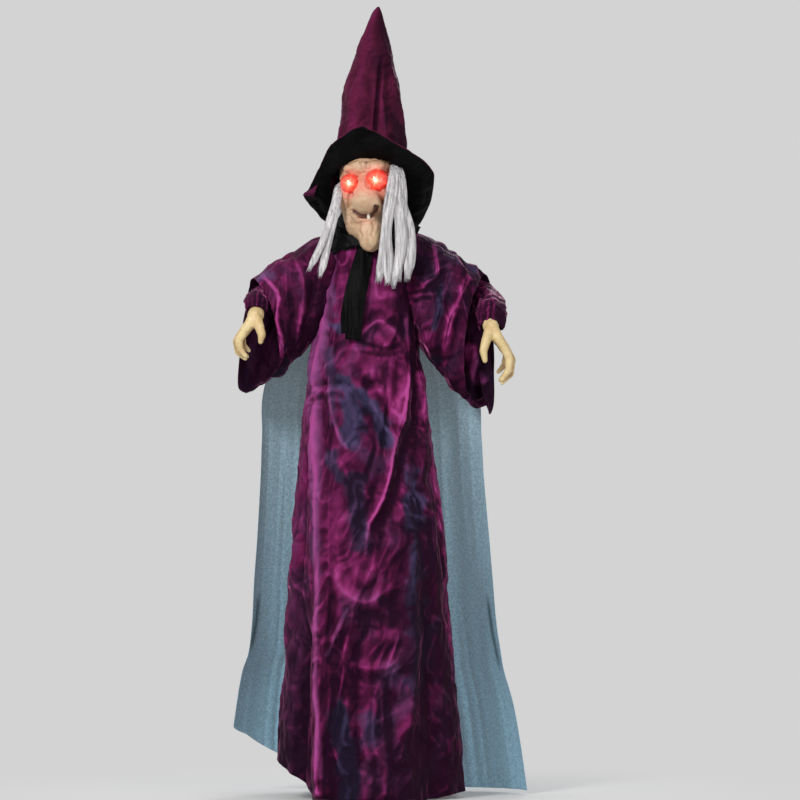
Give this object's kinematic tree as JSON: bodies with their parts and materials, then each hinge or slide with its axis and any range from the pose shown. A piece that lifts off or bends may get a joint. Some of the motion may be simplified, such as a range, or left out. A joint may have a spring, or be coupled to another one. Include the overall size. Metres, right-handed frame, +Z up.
{
  "type": "animated witch figure",
  "caption": "Standing animated witch display figure with a turning head, raisable arms, lit eyes, pointed hat, long dress and sheer cape on a four-legged pole stand.",
  "frame": {"origin": "on the floor under the pole, at the centre of the hub's flat underside", "axes": "+Z up along the pole to the hat, -Z out of the hub's underside, -Y the way the figure faces, +X towards the figure's left hand"},
  "size_m": [0.5975, 0.36, 1.6],
  "materials": {
    "stand_plastic": "satin black",
    "stand_steel": "black powder coat",
    "rubber": "matt",
    "housing_plastic": "fine texture",
    "gear_plastic": "moulded",
    "steel": "plain",
    "arm_plastic": "moulded",
    "circuit_board": "solder mask",
    "lead": "matt",
    "cell": "label wrap",
    "skin": "painted vinyl",
    "eye_red": "lit translucent",
    "hair": "combed fibre",
    "dress_fabric": "crinkled shot fabric",
    "sleeve_fabric": "crinkled",
    "hat_fabric": "crinkled shot fabric",
    "black_fabric": "matt",
    "cape_mesh": "sheer mesh"
  },
  "bodies": {
    "root": {"base_hub": "stand_plastic", "base_leg_front_left": "stand_steel", "base_leg_back_left": "stand_steel", "base_leg_back_right": "stand_steel", "base_leg_front_right": "stand_steel", "foot_caps": "rubber", "lower_pole": "stand_steel", "middle_pole": "stand_steel", "upper_pole": "stand_steel", "pole_socket": "stand_plastic", "torso_front_shell": "housing_plastic", "torso_rear_shell": "housing_plastic", "torso_screws": "steel", "drive_plate": "gear_plastic", "drive_gearbox": "housing_plastic", "drive_motor": "steel", "neck_bush": "housing_plastic", "speaker": "housing_plastic", "control_board": "circuit_board", "torso_leads": "lead", "battery_tray": "housing_plastic", "batteries": "cell", "battery_contacts": "steel", "switch_body": "housing_plastic", "shoulder_bar": "steel", "shoulder_pins": "steel", "dress": "dress_fabric", "collar": "black_fabric", "neck_tie": "black_fabric", "cape": "cape_mesh"},
    "head": {"neck_shaft": "steel", "head_gear": "gear_plastic", "neck_mount": "gear_plastic", "skull_shell": "skin", "face_mask": "skin", "right_eye_lens": "eye_red", "left_eye_lens": "eye_red", "eye_leds": "eye_red", "led_bracket": "gear_plastic", "eye_lead": "lead", "right_hair": "hair", "left_hair": "hair", "back_hair": "hair", "hat_brim": "black_fabric", "hat_crown": "hat_fabric"},
    "pinion": {"drive_pinion": "gear_plastic"},
    "right_arm": {"right_arm_yoke": "arm_plastic", "right_arm_tube": "steel", "right_inner_sleeve": "sleeve_fabric", "right_bell_sleeve": "dress_fabric"},
    "right_hand": {"right_hand": "skin"},
    "left_arm": {"left_arm_yoke": "arm_plastic", "left_arm_tube": "steel", "left_inner_sleeve": "sleeve_fabric", "left_bell_sleeve": "dress_fabric"},
    "left_hand": {"left_hand": "skin"},
    "door": {"battery_door": "housing_plastic"},
    "switch": {"power_switch": "housing_plastic"}
  },
  "joints": [
    {"name": "head_turn", "type": "hinge", "parent": "root", "child": "head", "pos_m": [0, 0, 1.095], "axis": [0, 0, 1], "range_deg": [-20, 20]},
    {"name": "pinion_spin", "type": "hinge", "parent": "root", "child": "pinion", "pos_m": [0.035, 0, 1.024], "axis": [0, 0, 1], "range_deg": [-50, 50]},
    {"name": "right_arm_raise", "type": "hinge", "parent": "root", "child": "right_arm", "pos_m": [-0.098, 0.02, 1.078], "axis": [0, 1, 0], "range_deg": [0, 50]},
    {"name": "right_hand_swivel", "type": "hinge", "parent": "right_arm", "child": "right_hand", "pos_m": [-0.231, -0.096, 0.984], "axis": [-0.076, -0.9796, -0.1858], "range_deg": [-20, 20]},
    {"name": "left_arm_raise", "type": "hinge", "parent": "root", "child": "left_arm", "pos_m": [0.098, 0.02, 1.078], "axis": [0, -1, 0], "range_deg": [0, 50]},
    {"name": "left_hand_swivel", "type": "hinge", "parent": "left_arm", "child": "left_hand", "pos_m": [0.243, -0.096, 0.966], "axis": [0.0575, -0.9535, -0.2959], "range_deg": [-20, 20]},
    {"name": "battery_door_slide", "type": "slide", "parent": "root", "child": "door", "axis": [0, 0, -1], "range_m": [0, 0.06]},
    {"name": "power_switch_slide", "type": "slide", "parent": "root", "child": "switch", "axis": [1, 0, 0], "range_m": [0, 0.004]}
  ],
  "couplings": [
    {"joint": "pinion_spin", "follows": "head_turn", "ratio": -2.5}
  ]
}
